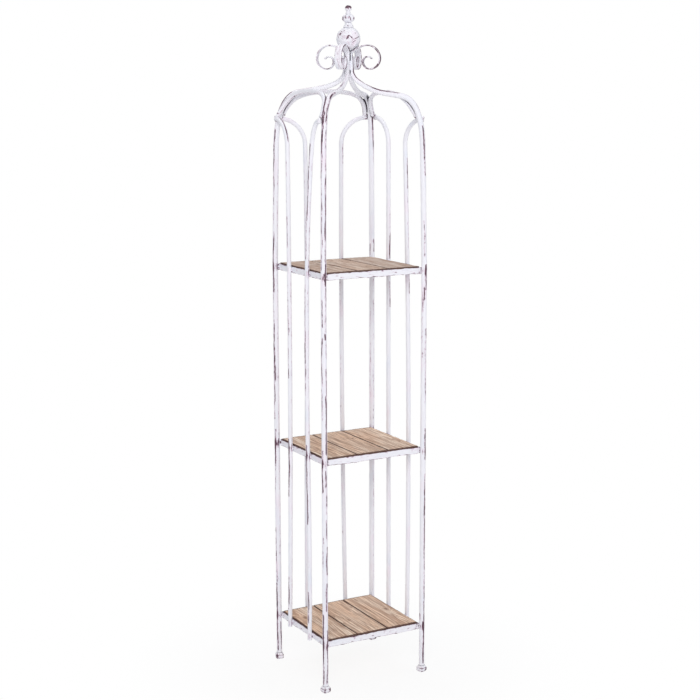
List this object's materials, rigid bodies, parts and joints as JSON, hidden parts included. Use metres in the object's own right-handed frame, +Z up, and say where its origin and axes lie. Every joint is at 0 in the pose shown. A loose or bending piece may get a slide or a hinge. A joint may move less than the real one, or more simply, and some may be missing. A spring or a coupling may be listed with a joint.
{
  "type": "display shelf",
  "caption": "Tall narrow tower shelf of bent white-painted tube: slatted wood shelves, rods and leaning arches on the closed sides, legs meeting over the top in scrolls and a ball finial.",
  "frame": {"origin": "on the floor, under the centre of the tower", "axes": "+Z up, -Y out of the open front, +X to the right as seen from the front"},
  "size_m": [0.3276, 0.3046, 1.7967],
  "materials": {
    "white_paint": "satin, brushed on and rubbed back to dark metal along the edges",
    "wood": "matt, weathered, pinkish tan with knots and dark edges",
    "screw_steel": "plain"
  },
  "bodies": {
    "root": {"post_front_left": "white_paint", "post_front_right": "white_paint", "post_back_right": "white_paint", "post_back_left": "white_paint", "foot_front_left": "white_paint", "foot_front_right": "white_paint", "foot_back_right": "white_paint", "foot_back_left": "white_paint", "arch_left": "white_paint", "arch_back": "white_paint", "arch_right": "white_paint", "rod_left_front": "white_paint", "rod_left_back": "white_paint", "rod_back_left": "white_paint", "rod_back_right": "white_paint", "rod_right_back": "white_paint", "rod_right_front": "white_paint", "rail_bottom_front": "white_paint", "rail_bottom_back": "white_paint", "rail_bottom_left": "white_paint", "rail_bottom_right": "white_paint", "rail_middle_front": "white_paint", "rail_middle_back": "white_paint", "rail_middle_left": "white_paint", "rail_middle_right": "white_paint", "rail_top_front": "white_paint", "rail_top_back": "white_paint", "rail_top_left": "white_paint", "rail_top_right": "white_paint", "slat_bottom_left": "wood", "slat_bottom_middle": "wood", "slat_bottom_right": "wood", "slat_middle_left": "wood", "slat_middle_middle": "wood", "slat_middle_right": "wood", "slat_top_left": "wood", "slat_top_middle": "wood", "slat_top_right": "wood", "screw_bottom_left_front": "screw_steel", "screw_bottom_left_back": "screw_steel", "screw_bottom_middle_front": "screw_steel", "screw_bottom_middle_back": "screw_steel", "screw_bottom_right_front": "screw_steel", "screw_bottom_right_back": "screw_steel", "screw_middle_left_front": "screw_steel", "screw_middle_left_back": "screw_steel", "screw_middle_middle_front": "screw_steel", "screw_middle_middle_back": "screw_steel", "screw_middle_right_front": "screw_steel", "screw_middle_right_back": "screw_steel", "screw_top_left_front": "screw_steel", "screw_top_left_back": "screw_steel", "screw_top_middle_front": "screw_steel", "screw_top_middle_back": "screw_steel", "screw_top_right_front": "screw_steel", "screw_top_right_back": "screw_steel", "finial_ball": "white_paint", "finial_collar": "white_paint", "finial_bead": "white_paint", "finial_cap": "white_paint"}
  },
  "joints": []
}
